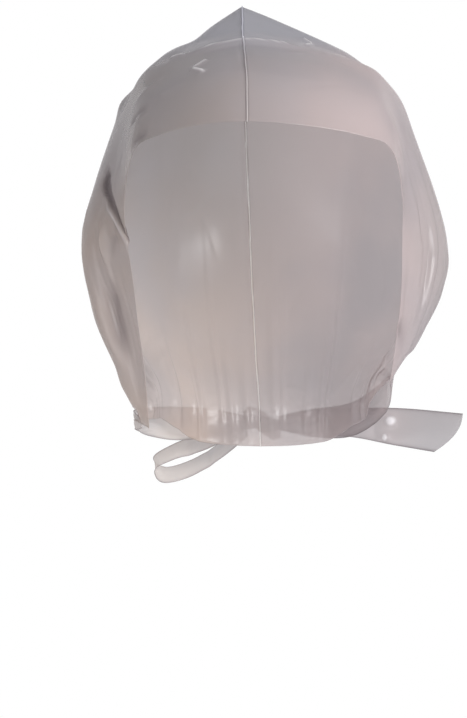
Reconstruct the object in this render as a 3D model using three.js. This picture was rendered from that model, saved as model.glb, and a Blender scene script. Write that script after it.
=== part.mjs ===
// A disposable highlighting cap, as worn: a hood of thin plastic film that covers the hair and leaves the face
// free. Two side panels are welded together along one seam, which runs from the hairline over a pointed peak
// and down to the nape. Each panel narrows at the jaw to a corner that carries a flat tie, and the two ties
// go round the neck and are knotted behind it. One tie leaves the knot as a small loop, the other as a tail.
//
// Millimetres, +Z up. The face looks along -Y and the wearer's left is +X. The origin is on the inner face of
// the seam, where the crown of the head carries the film.

import * as THREE from "three";
import { mergeVertices } from "three/addons/utils/BufferGeometryUtils.js";

// ---- driving dimensions -------------------------------------------------------------------------------

const FILM = 1.0; // wall thickness of a panel
const TIE = 1.0; // thickness of a tie
const GAP = 0.35; // clear gap between pieces that touch on the real cap
const SEAM_WIDTH = 1.6; // the weld, across the cap
const SEAM_PROUD = 1.4; // how far the weld stands above the film
const RIB_STEPS = 36; // cells of a panel from the face to the neck
const ARCH_STEPS = 26; // cells of a panel from the seam to its corner
const CROWN_SPREAD = 0.25; // share of an arch over which the corner at the peak turns smooth
const SIDE_BULGE = 3; // how far the film stands out between the shoulder and the ear
const CALM_CELLS = 3; // folds fade out over this many cells beside the seam and the face edge
const TO_SHOULDER = [0, 0.25, 0.5, 0.72, 0.88]; // where an arch is fixed between the seam and the shoulder
const TO_CORNER = [0, 0.33, 0.66, 1]; // and between the ear's side and the corner

// The hood's ribs, from the face edge back to the neck edge. Each is an arch through the seam, the shoulder
// of the head, the ear's side and the panel's corner. at places the rib along the seam, round is 1 for a
// domed arch and 0 for one that is pulled straight like a tent.
const RIBS = [
  { at: 0.0, seam: [-8.6, -62, -42.5], shoulder: [68, -26, -62], side: [68, -11, -93], round: 1.0 },
  { at: 0.07, seam: [-8.9, -47, -17], shoulder: [67, -10, -47], side: [77, 3, -96], round: 0.9 },
  { at: 0.18, seam: [-10.3, -2, 2], shoulder: [67, 14, -32], side: [87, 13, -98], round: 0.75 },
  { at: 0.26, seam: [-10.5, 26, 12.5], shoulder: [68, 32, -31], side: [91, 25, -99], round: 0.45 },
  { at: 1 / 3, seam: [-10.7, 52, 25.3], shoulder: [68, 52, -33], side: [90, 40, -102], round: 0.3 },
  { at: 0.43, seam: [-10, 84, -4], shoulder: [62, 80, -48], side: [83, 58, -107], round: 0.6 },
  { at: 0.53, seam: [-8, 110, -46], shoulder: [56, 94, -76], side: [77, 66, -119], round: 0.9 },
  { at: 0.64, seam: [-6, 118, -94], shoulder: [52, 98, -110], side: [71, 64, -134], round: 1.0 },
  { at: 0.76, seam: [-4, 103, -140], shoulder: [47, 82, -143], side: [63, 54, -152], round: 1.0 },
  { at: 0.88, seam: [-2, 73, -175], shoulder: [40, 58, -172], side: [54, 38, -168], round: 1.0 },
  { at: 1.0, seam: [-1, 69, -199], shoulder: [38, 55, -193], side: [52, 36, -184], round: 1.0 },
];
const PEAK = RIBS.findIndex((rib) => rib.seam[2] === Math.max(...RIBS.map((r) => r.seam[2])));

// The two panels. root is the line that the corner gathers to, from its face end to its nape end. cheek is how
// the film narrows below the ear, at the face edge and elsewhere: under 1 at once, over 1 only near the corner.
// wide, lift and round alter the shoulder on the crown, and ear lifts the side there.
const PANELS = [
  {
    name: "right_panel",
    side: -1,
    root: [[-56.5, 0, -188], [-64.5, 14, -184]],
    cheek: [0.75, 1.5],
    wide: 1,
    lift: 12.5,
    round: -0.11,
    ear: 0,
  },
  {
    name: "left_panel",
    side: 1,
    root: [[62, 1, -165.5], [67.5, 14, -159]],
    cheek: [2, 1.85],
    wide: 0,
    lift: 7.5,
    round: 0.11,
    ear: 4,
  },
];

// Folds in the film: a ridge (height over 0) or a groove along a straight line, width is its half width.
const FOLDS = [
  { from: [-45, -8, 2], to: [-12, 2, 2], width: 7, height: 2.2 }, // crown crease, right
  { from: [-9, 2, 3], to: [36, -6, -2], width: 7, height: 2.0 }, // crown crease, left
  { from: [-50, 18, -3], to: [-51, 64, 0], width: 13, height: 2.2 }, // swell of the crown, right
  { from: [-64, 12, -17], to: [-64, 66, -14], width: 11, height: -2.2 }, // and the film drawn in below it
  { from: [40, 18, -1], to: [40, 66, 3], width: 17, height: 2.2 }, // swell of the crown, left
  { from: [-70, -12, -48], to: [-66, -12, -96], width: 6, height: -4.0 }, // pleat at the right temple
  { from: [-77, -2, -52], to: [-74, -4, -100], width: 7, height: 3.0 }, // the film that overhangs the pleat
  { from: [-74, 4, -112], to: [-70, 6, -160], width: 6, height: -3.0 }, // hollow before the right ear
  { from: [-62, -34, -36], to: [-48, -48, -28], width: 4, height: -1.6 }, // short crease at the brow
  { from: [76, 2, -60], to: [80, 8, -110], width: 6, height: 1.8 }, // soft ridge before the left ear
  { from: [66, 4, -130], to: [65, 6, -160], width: 4, height: -2.0 }, // gather above the left corner
  { from: [-34, 84, -110], to: [-22, 78, -178], width: 7, height: -2.5 }, // gathers that the ties draw in
  { from: [-4, 112, -120], to: [0, 76, -178], width: 6, height: -2.0 },
  { from: [28, 92, -112], to: [20, 74, -178], width: 7, height: -2.5 },
];

// The ties' stretches: at is the middle of the strap, and edge leads from there to its upper edge. bulge is how
// far the middle of a free end stands out past its corners.
const TIES = [
  {
    name: "right_tie",
    stations: [
      { at: [-60.5, 7.8, -187.1], edge: [-3.9, 6.7, 1.9] },
      { at: [-63, 13.8, -187], edge: [-2.2, 3.9, 3.2] },
      { at: [-64.4, 21, -184.2], edge: [-0.3, 1, 4.8] },
      { at: [-58.5, 38, -185.5], edge: [0, 0, 7] },
      { at: [-43.5, 59, -187], edge: [0, 0, 8.5] },
      { at: [-25, 72.5, -187], edge: [0, 0, 7] },
      { at: [-9.2, 78, -187], edge: [0, 0, 4] },
    ],
  },
  {
    name: "left_tie",
    stations: [
      { at: [64.9, 8.1, -163.4], edge: [2.6, 6.2, 3.1] },
      { at: [65.2, 12.8, -167.6], edge: [0.8, 2.4, 4.2] },
      { at: [63.6, 22, -172], edge: [0, 1, 5.8] },
      { at: [56, 39, -179], edge: [0, 1.5, 7.5] },
      { at: [43.5, 59, -185.5], edge: [0, 0, 8.5] },
      { at: [25, 72.5, -187], edge: [0, 0, 7] },
      { at: [9.2, 78, -187], edge: [0, 0, 4] },
    ],
  },
  {
    name: "tie_tail",
    bulge: 4,
    stations: [
      { at: [9.3, 81.2, -187.5], edge: [0, 0, 4] },
      { at: [24, 84, -187], edge: [0, 0.5, 6.5] },
      { at: [46, 82, -187], edge: [0, 0.8, 7.5] },
      { at: [70, 76, -189], edge: [2, 1, 9.5] },
      { at: [95.3, 65.5, -191.9], edge: [7.2, -2, 9.9] },
    ],
  },
  {
    name: "tie_loop",
    stations: [
      { at: [-9.4, 80.8, -187], edge: [0.5, 0.5, 3.5] },
      { at: [-28, 80, -196], edge: [1, 3, 4] },
      { at: [-46, 74, -202], edge: [1, 3.5, 4] },
      { at: [-55.5, 70.5, -208], edge: [1.2, 3.6, 3.9] },
      { at: [-51.5, 75.5, -213.5], edge: [1, 3.6, 3.7] },
      { at: [-38, 81, -210.5], edge: [1, 3.6, 3.9] },
      { at: [-22, 84, -201], edge: [1, 3, 4] },
      { at: [-9.6, 83.4, -190.5], edge: [0.5, 1, 3] },
    ],
  },
];
const TIE_STEPS = 24; // cells along one stretch of a tie
const ACROSS_TIE = [1, 0, -1]; // a strap's upper edge, middle and lower edge
const FREE_END = 0.15; // share of a tie over which its end's bulge grows

// The knot: a blunt bead along X with two lobes that turn about each other.
const KNOT = { middle: [0, 80, -187.5], half: [9, 6, 7.5], blunt: 0.5, lobe: 0.14, twist: 0.7 * Math.PI };
const KNOT_STEPS = [20, 14]; // faces round the knot and along it

const FILM_MATERIAL = { color: 0xb4abab, roughness: 0.35, metalness: 0.0 };
const TIE_MATERIAL = { color: 0xb0a8a8, roughness: 0.32, metalness: 0.0 };

// ---- small helpers ------------------------------------------------------------------------------------

const V = (p) => new THREE.Vector3(...p);
const lerp = THREE.MathUtils.lerp;
const smooth = (t) => THREE.MathUtils.smoothstep(t, 0, 1);

// A smooth value through rows of numbers, placed at the rows' own stations.
function along(rows, stations, t) {
  const last = rows.length - 1;
  let i = 0;
  while (i < last - 1 && t > stations[i + 1]) i++;
  const step = stations[i + 1] - stations[i];
  const s = (t - stations[i]) / step;
  const slope = (k) => {
    const [a, b] = [Math.max(k - 1, 0), Math.min(k + 1, last)];
    return ((rows[b] - rows[a]) / (stations[b] - stations[a])) * step;
  };
  const [s2, s3] = [s * s, s * s * s];
  return (
    (2 * s3 - 3 * s2 + 1) * rows[i] +
    (s3 - 2 * s2 + s) * slope(i) +
    (3 * s2 - 2 * s3) * rows[i + 1] +
    (s3 - s2) * slope(i + 1)
  );
}

// One closed solid between an outer and an inner grid of points, which have the same size.
function shellBetween(outer, inner) {
  const rows = outer.length;
  const columns = outer[0].length;
  const points = [...outer.flat(), ...inner.flat()];
  const index = (layer, i, j) => layer * rows * columns + i * columns + j;
  const faces = [];
  const quad = (a, b, c, d) => faces.push(a, b, c, a, c, d);
  for (let i = 0; i < rows - 1; i++)
    for (let j = 0; j < columns - 1; j++) {
      quad(index(0, i, j), index(0, i + 1, j), index(0, i + 1, j + 1), index(0, i, j + 1));
      quad(index(1, i, j), index(1, i, j + 1), index(1, i + 1, j + 1), index(1, i + 1, j));
    }
  for (let i = 0; i < rows - 1; i++) {
    quad(index(0, i, 0), index(1, i, 0), index(1, i + 1, 0), index(0, i + 1, 0));
    const end = columns - 1;
    quad(index(0, i + 1, end), index(1, i + 1, end), index(1, i, end), index(0, i, end));
  }
  for (let j = 0; j < columns - 1; j++) {
    quad(index(0, 0, j + 1), index(1, 0, j + 1), index(1, 0, j), index(0, 0, j));
    const end = rows - 1;
    quad(index(0, end, j), index(1, end, j), index(1, end, j + 1), index(0, end, j + 1));
  }
  return facingOut(points, faces);
}

// A geometry from points and triangles, turned round if its faces point inwards.
function facingOut(points, faces) {
  let volume = 0;
  for (let k = 0; k < faces.length; k += 3) {
    const [a, b, c] = [points[faces[k]], points[faces[k + 1]], points[faces[k + 2]]];
    volume += a.dot(b.clone().cross(c));
  }
  const turned = volume < 0 ? faces.slice().reverse() : faces;
  const geometry = new THREE.BufferGeometry().setFromPoints(points);
  geometry.setIndex(turned);
  const merged = mergeVertices(geometry, 1e-4);
  merged.computeVertexNormals();
  return merged;
}

function piece(name, geometry, look) {
  const mesh = new THREE.Mesh(geometry, new THREE.MeshStandardMaterial({ ...look, side: THREE.DoubleSide }));
  mesh.name = name;
  return mesh;
}

// ---- the film -----------------------------------------------------------------------------------------

const STATIONS = RIBS.map((rib) => rib.at);
const HEAD_MIDDLE = new THREE.Vector3(0, 25, -110);

// A rib's value at u, from 0 at the face edge to 1 at the neck edge. near is 1 at the seam, where the peak
// is a corner, and 0 out on the panel, where the film bends round it smoothly.
function ribValue(read, u, near) {
  const all = along(RIBS.map(read), STATIONS, u);
  if (near <= 0) return all;
  const [from, to] = u <= STATIONS[PEAK] ? [0, PEAK + 1] : [PEAK, RIBS.length];
  const part = along(RIBS.slice(from, to).map(read), STATIONS.slice(from, to), u);
  return lerp(all, part, near);
}

// The outer face of a panel: u runs from the face to the neck, v from the seam to the panel's corner.
function filmPoint(panel, u, v) {
  const near = 1 - smooth(v / CROWN_SPREAD);
  const value = (read) => ribValue(read, u, near);
  const seam = [0, 1, 2].map((k) => value((r) => r.seam[k]));
  const shoulder = [0, 1, 2].map((k) => value((r) => r.shoulder[k]));
  const side = [0, 1, 2].map((k) => value((r) => r.side[k]));
  const root = V(panel.root[0]).lerp(V(panel.root[1]), u);
  const seamX = seam[0] * panel.side + SEAM_WIDTH / 2 + GAP;
  const crown = smooth(1 - Math.abs(u - STATIONS[PEAK]) / STATIONS[PEAK]);
  const round = value((r) => r.round) + panel.round * crown;
  const cheek = lerp(panel.cheek[0], panel.cheek[1], smooth(u / STATIONS[PEAK]));
  shoulder[0] += panel.wide * crown;
  shoulder[2] += panel.lift * crown;
  side[2] += panel.ear * crown;

  const toShoulder = (t) => {
    const dome = lerp(t, 1 - Math.sqrt(1 - t * t), round);
    return [lerp(seamX, shoulder[0], t), lerp(seam[1], shoulder[1], dome), lerp(seam[2], shoulder[2], dome)];
  };
  const toCorner = (t) => [
    lerp(side[0], Math.abs(root.x), Math.pow(t, cheek)),
    lerp(side[1], root.y, t),
    lerp(side[2], root.z, t),
  ];
  const overEar = shoulder.map((value, k) => lerp(value, side[k], 0.5));
  overEar[0] += SIDE_BULGE * crown;
  const controls = [...TO_SHOULDER.map(toShoulder), overEar, ...TO_CORNER.map(toCorner)];
  const curve = new THREE.CatmullRomCurve3(controls.map(V), false, "centripetal");
  const point = curve.getPoint(v);
  point.x *= panel.side;
  return point;
}

// The height of all folds at a point. A fold is a rounded ridge that dies out towards its ends.
function foldHeight(point) {
  return FOLDS.reduce((sum, fold) => {
    const line = new THREE.Line3(V(fold.from), V(fold.to));
    const t = line.closestPointToPointParameter(point, true);
    const far = line.at(t, new THREE.Vector3()).distanceTo(point);
    const length = Math.sin(Math.PI * lerp(0.12, 0.88, t));
    return sum + fold.height * length * Math.exp(-Math.pow(far / fold.width, 2));
  }, 0);
}

// The unit normal of a grid of points at one of them, facing away from the head.
function gridNormal(grid, i, j) {
  const [rows, columns] = [grid.length, grid[0].length];
  const down = grid[Math.min(i + 1, rows - 1)][j].clone().sub(grid[Math.max(i - 1, 0)][j]);
  const across = grid[i][Math.min(j + 1, columns - 1)].clone().sub(grid[i][Math.max(j - 1, 0)]);
  const normal = down.cross(across);
  if (j === 0) normal.x = 0; // the film's edge stands square to the seam
  const outwards = grid[i][j].clone().sub(HEAD_MIDDLE);
  return normal.normalize().multiplyScalar(Math.sign(normal.dot(outwards)));
}

function panelGeometry(panel) {
  const grid = Array.from({ length: RIB_STEPS + 1 }, (_, i) =>
    Array.from({ length: ARCH_STEPS + 1 }, (_, j) => filmPoint(panel, i / RIB_STEPS, j / ARCH_STEPS)),
  );
  const offset = (height) =>
    grid.map((row, i) =>
      row.map((point, j) => {
        const normal = gridNormal(grid, i, j);
        return point.clone().addScaledVector(normal, height(point, Math.min(i, j)));
      }),
    );
  const fold = (point, cell) => foldHeight(point) * smooth(cell / CALM_CELLS);
  return shellBetween(offset(fold), offset((point, cell) => fold(point, cell) - FILM));
}

// ---- the seam, the ties and the knot ------------------------------------------------------------------

// The weld follows the panels' edges, from under the film to a little above it.
function seamGeometry() {
  const middle = Array.from({ length: RIB_STEPS + 1 }, (_, i) =>
    V([0, 1, 2].map((k) => ribValue((r) => r.seam[k], i / RIB_STEPS, 1))),
  );
  const face = (height) =>
    middle.map((point, i) => {
      const ahead = middle[Math.min(i + 1, RIB_STEPS)].clone().sub(middle[Math.max(i - 1, 0)]);
      const up = new THREE.Vector3(0, -ahead.z, ahead.y).normalize();
      const lifted = point.clone().addScaledVector(up, height);
      return [-1, 1].map((end) => lifted.clone().add(new THREE.Vector3((end * SEAM_WIDTH) / 2, 0, 0)));
    });
  return shellBetween(face(SEAM_PROUD), face(-FILM));
}

function tieGeometry({ stations, bulge = 0 }) {
  const middle = new THREE.CatmullRomCurve3(stations.map((s) => V(s.at)), false, "centripetal");
  const edge = (k, t) => along(stations.map((s) => s.edge[k]), stations.map((_, i) => i), t);
  const rows = Array.from({ length: TIE_STEPS + 1 }, (_, i) => {
    const t = i / TIE_STEPS;
    const upper = V([0, 1, 2].map((k) => edge(k, t * (stations.length - 1))));
    const ahead = middle.getTangent(t);
    const normal = ahead.clone().cross(upper).normalize();
    ahead.multiplyScalar(bulge * smooth((t - 1 + FREE_END) / FREE_END));
    return { point: middle.getPoint(t), upper, ahead, normal };
  });
  const face = (height) =>
    rows.map(({ point, upper, ahead, normal }) =>
      ACROSS_TIE.map((end) => {
        const place = point.clone().addScaledVector(upper, end);
        return place.addScaledVector(ahead, 1 - end * end).addScaledVector(normal, height);
      }),
    );
  return shellBetween(face(TIE / 2), face(-TIE / 2));
}

function knotGeometry() {
  const geometry = new THREE.SphereGeometry(1, ...KNOT_STEPS).rotateZ(Math.PI / 2);
  const position = geometry.getAttribute("position");
  const points = Array.from({ length: position.count }, (_, i) => {
    const p = new THREE.Vector3().fromBufferAttribute(position, i);
    const round = Math.atan2(p.z, p.y);
    const x = Math.sign(p.x) * Math.pow(Math.abs(p.x), KNOT.blunt);
    const swell = 1 + KNOT.lobe * Math.cos(2 * round + KNOT.twist * x);
    return new THREE.Vector3(x, p.y * swell, p.z * swell).multiply(V(KNOT.half)).add(V(KNOT.middle));
  });
  return facingOut(points, Array.from(geometry.index.array));
}

// ---- build --------------------------------------------------------------------------------------------

const cap = new THREE.Group();
for (const panel of PANELS) cap.add(piece(panel.name, panelGeometry(panel), FILM_MATERIAL));
cap.add(piece("crown_seam", seamGeometry(), FILM_MATERIAL));
for (const tie of TIES) cap.add(piece(tie.name, tieGeometry(tie), TIE_MATERIAL));
cap.add(piece("knot", knotGeometry(), TIE_MATERIAL));

export default cap;
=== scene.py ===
# The looks of a disposable highlighting cap, as worn: a hood of thin milky film, its weld, its ties and its knot.
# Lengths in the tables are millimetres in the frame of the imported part: the face looks along -Y, +X is the
# wearer's left, +Z is up, and the origin is on the inner face of the seam on top of the crown.
import math

import bpy
import numpy as np
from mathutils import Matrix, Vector, noise


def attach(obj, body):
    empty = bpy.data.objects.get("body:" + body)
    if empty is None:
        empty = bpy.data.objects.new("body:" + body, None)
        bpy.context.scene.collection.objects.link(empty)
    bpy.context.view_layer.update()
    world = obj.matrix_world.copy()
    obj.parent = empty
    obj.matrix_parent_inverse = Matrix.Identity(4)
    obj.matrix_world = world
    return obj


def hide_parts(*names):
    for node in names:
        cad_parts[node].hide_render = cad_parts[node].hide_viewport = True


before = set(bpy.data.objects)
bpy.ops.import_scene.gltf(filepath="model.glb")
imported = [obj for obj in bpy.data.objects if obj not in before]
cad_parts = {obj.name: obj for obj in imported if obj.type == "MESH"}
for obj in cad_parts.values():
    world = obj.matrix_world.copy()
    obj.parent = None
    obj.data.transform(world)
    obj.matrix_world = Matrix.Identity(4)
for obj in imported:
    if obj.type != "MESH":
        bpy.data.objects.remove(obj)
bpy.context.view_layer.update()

MM = 0.001
TINY = 1e-9  # keeps divisors and places off the very end

# ---- the film's form: the same ribs as the part's ---------------------------------------------------------

FILM = 0.3  # wall that the film is drawn with
SEAM_HALF = 0.3  # from the middle of the weld to each panel's edge
CROWN_SPREAD = 0.25  # share of the way to the corner over which the peak's sharpness dies out
SIDE_BULGE = 3.0  # how far the film stands out between shoulder and ear, most of all below the peak
TO_SHOULDER = (0.0, 0.25, 0.5, 0.72, 0.88)  # places of an arch's points between seam and shoulder
TO_CORNER = (0.0, 0.33, 0.66, 1.0)  # and between ear and corner
HEAD_MIDDLE = np.array((0.0, 25.0, -110.0))

# at: place along the seam; seam, shoulder, side: points of the rib; round: 1 domed .. 0 straight
RIBS = [
    dict(at=0.0, seam=(-8.6, -62, -42.5), shoulder=(68, -26, -62), side=(68, -11, -93), round=1.0),
    dict(at=0.07, seam=(-8.9, -47, -17), shoulder=(67, -10, -47), side=(77, 3, -96), round=0.9),
    dict(at=0.18, seam=(-10.3, -2, 2), shoulder=(67, 14, -32), side=(87, 13, -98), round=0.75),
    dict(at=0.26, seam=(-10.5, 26, 12.5), shoulder=(68, 32, -31), side=(91, 25, -99), round=0.45),
    dict(at=1 / 3, seam=(-10.7, 52, 25.3), shoulder=(68, 52, -33), side=(90, 40, -102), round=0.3),
    dict(at=0.43, seam=(-10, 84, -4), shoulder=(62, 80, -48), side=(83, 58, -107), round=0.6),
    dict(at=0.53, seam=(-8, 110, -46), shoulder=(56, 94, -76), side=(77, 66, -119), round=0.9),
    dict(at=0.64, seam=(-6, 118, -94), shoulder=(52, 98, -110), side=(71, 64, -134), round=1.0),
    dict(at=0.76, seam=(-4, 103, -140), shoulder=(47, 82, -143), side=(63, 54, -152), round=1.0),
    dict(at=0.88, seam=(-2, 73, -175), shoulder=(40, 58, -172), side=(54, 38, -168), round=1.0),
    dict(at=1.0, seam=(-1, 69, -199), shoulder=(38, 55, -193), side=(52, 36, -184), round=1.0),
]
PEAK = max(range(len(RIBS)), key=lambda i: RIBS[i]["seam"][2])
STATIONS = np.array([rib["at"] for rib in RIBS])
PEAK_AT = STATIONS[PEAK]

# side: which way the panel lies. root: the two ends of the edge that its tie leads from. cheek: how the film nears
# the corner, at the face and at the peak. wide, lift and ear: how far the shoulder moves out and up and the ear
# moves up, at the peak. round: added to the ribs' own.
PANELS = [
    dict(name="right_panel", side=-1, root=((-56.5, 0, -188), (-64.5, 14, -184)), cheek=(0.75, 1.5),
         wide=1.0, lift=12.5, round=-0.11, ear=0.0),
    dict(name="left_panel", side=1, root=((62, 1, -165.5), (64.4, 12.8, -161.9)), cheek=(2.0, 1.85),
         wide=0.0, lift=7.5, round=0.11, ear=4.0),
]
# from the face to the peak, on to the neck, and from seam to corner
FRONT_CELLS, BACK_CELLS, ARCH_CELLS = 118, 110, 204
FINE_STEPS = 2001  # places at which uneven() weighs its density


def uneven(start, end, cells, middle, spread, gain):
    """Steps from start to end that lie up to 1 + gain times closer about the middle."""
    fine = np.linspace(start, end, FINE_STEPS)
    density = 1 + gain * np.exp(-(((fine - middle) / spread) ** 2))
    run = np.cumsum(density)
    return np.interp(np.linspace(run[0], run[-1], cells + 1), run, fine)


# The cells are finer at the face's edge and at the height of the temples.
steps_u = np.concatenate([uneven(0, PEAK_AT, FRONT_CELLS, middle=0.03, spread=0.1, gain=1.2),
                          np.linspace(PEAK_AT, 1, BACK_CELLS + 1)[1:]])
steps_v = uneven(0, 1, ARCH_CELLS, middle=0.6, spread=0.1, gain=1.2)


def smooth(t):
    t = np.clip(t, 0.0, 1.0)
    return t * t * (3 - 2 * t)


def lerp(a, b, t):
    return a + (b - a) * t


def along(rows, stations, t):
    """A smooth value through rows of numbers, placed at the rows' own stations, for an array t."""
    rows, stations = np.asarray(rows, float), np.asarray(stations, float)
    last = len(rows) - 1
    i = np.clip(np.searchsorted(stations, t, side="left") - 1, 0, last - 1)
    step = stations[i + 1] - stations[i]
    s = (t - stations[i]) / step
    before, after = np.maximum(np.arange(last + 1) - 1, 0), np.minimum(np.arange(last + 1) + 1, last)
    slopes = (rows[after] - rows[before]) / (stations[after] - stations[before])
    s2, s3 = s * s, s * s * s
    return ((2 * s3 - 3 * s2 + 1) * rows[i] + (s3 - 2 * s2 + s) * slopes[i] * step
            + (3 * s2 - 2 * s3) * rows[i + 1] + (s3 - s2) * slopes[i + 1] * step)


def rib_value(rows, u, near):
    """A rib's value at u. near is 1 at the seam, where the peak is a corner, and 0 out on the panel."""
    whole = along(rows, STATIONS, u)
    front = along(rows[: PEAK + 1], STATIONS[: PEAK + 1], np.minimum(u, PEAK_AT))
    back = along(rows[PEAK:], STATIONS[PEAK:], np.maximum(u, PEAK_AT))
    return lerp(whole, np.where(u <= PEAK_AT, front, back), near)


CLOSEST = 1e-6  # least distance that two points of a curve are taken to have


def catmull(controls, v):
    """Points at v, from 0 to 1, of centripetal Catmull-Rom curves. controls is (..., n, 3) and v is (...)."""
    n = controls.shape[-2]
    first = 2 * controls[..., :1, :] - controls[..., 1:2, :]
    end = 2 * controls[..., -1:, :] - controls[..., -2:-1, :]
    c = np.concatenate([first, controls, end], axis=-2)
    place = np.clip(v * (n - 1), 0, n - 1 - TINY)
    k = place.astype(int)
    w = (place - k)[..., None]
    p = [np.take_along_axis(c, (k + j)[..., None, None], axis=-2)[..., 0, :] for j in range(4)]
    d = [np.maximum(np.linalg.norm(p[j + 1] - p[j], axis=-1, keepdims=True), CLOSEST) ** 0.5 for j in range(3)]
    t1 = (p[1] - p[0]) / d[0] - (p[2] - p[0]) / (d[0] + d[1]) + (p[2] - p[1]) / d[1]
    t2 = (p[2] - p[1]) / d[1] - (p[3] - p[1]) / (d[1] + d[2]) + (p[3] - p[2]) / d[2]
    t1, t2 = t1 * d[1], t2 * d[1]
    a, b = p[1], p[2]
    return a + t1 * w + (3 * (b - a) - 2 * t1 - t2) * w**2 + (2 * (a - b) + t1 + t2) * w**3


def film_grid(panel, u, v):
    """The film's surface at the grids u and v, as an array (rows, columns, 3)."""
    near = 1 - smooth(v / CROWN_SPREAD)
    value = {key: np.stack([rib_value([rib[key][k] for rib in RIBS], u, near) for k in range(3)], axis=-1)
             for key in ("seam", "shoulder", "side")}
    seam, shoulder, ear = value["seam"], value["shoulder"], value["side"]
    crown = smooth(1 - np.abs(u - PEAK_AT) / PEAK_AT)
    shape = rib_value([rib["round"] for rib in RIBS], u, near) + panel["round"] * crown
    cheek = lerp(panel["cheek"][0], panel["cheek"][1], smooth(u / PEAK_AT))
    root = lerp(np.array(panel["root"][0], float), np.array(panel["root"][1], float), u[..., None])
    seam = np.stack([seam[..., 0] * panel["side"] + SEAM_HALF, seam[..., 1], seam[..., 2]], axis=-1)
    shoulder = shoulder + np.stack([panel["wide"] * crown, 0 * crown, panel["lift"] * crown], axis=-1)
    ear = ear + np.stack([0 * crown, 0 * crown, panel["ear"] * crown], axis=-1)

    controls = []
    for t in TO_SHOULDER:
        dome = lerp(t, 1 - math.sqrt(1 - t * t), shape)
        controls.append(np.stack([lerp(seam[..., 0], shoulder[..., 0], t),
                                  lerp(seam[..., 1], shoulder[..., 1], dome),
                                  lerp(seam[..., 2], shoulder[..., 2], dome)], axis=-1))
    over_ear = lerp(shoulder, ear, 0.5)
    over_ear[..., 0] += SIDE_BULGE * crown
    controls.append(over_ear)
    for t in TO_CORNER:
        controls.append(np.stack([lerp(ear[..., 0], np.abs(root[..., 0]), t**cheek),
                                  lerp(ear[..., 1], root[..., 1], t),
                                  lerp(ear[..., 2], root[..., 2], t)], axis=-1))
    points = catmull(np.stack(controls, axis=-2), v)
    points[..., 0] *= panel["side"]
    return points


def grid_normals(points):
    """Unit normals of a grid of points, facing away from the head."""
    normal = np.cross(np.gradient(points, axis=0), np.gradient(points, axis=1))
    normal /= np.maximum(np.linalg.norm(normal, axis=-1, keepdims=True), TINY)
    outwards = ((points - HEAD_MIDDLE) * normal).sum(axis=-1).mean()
    return normal * np.sign(outwards)


# ---- folds ------------------------------------------------------------------------------------------------

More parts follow.
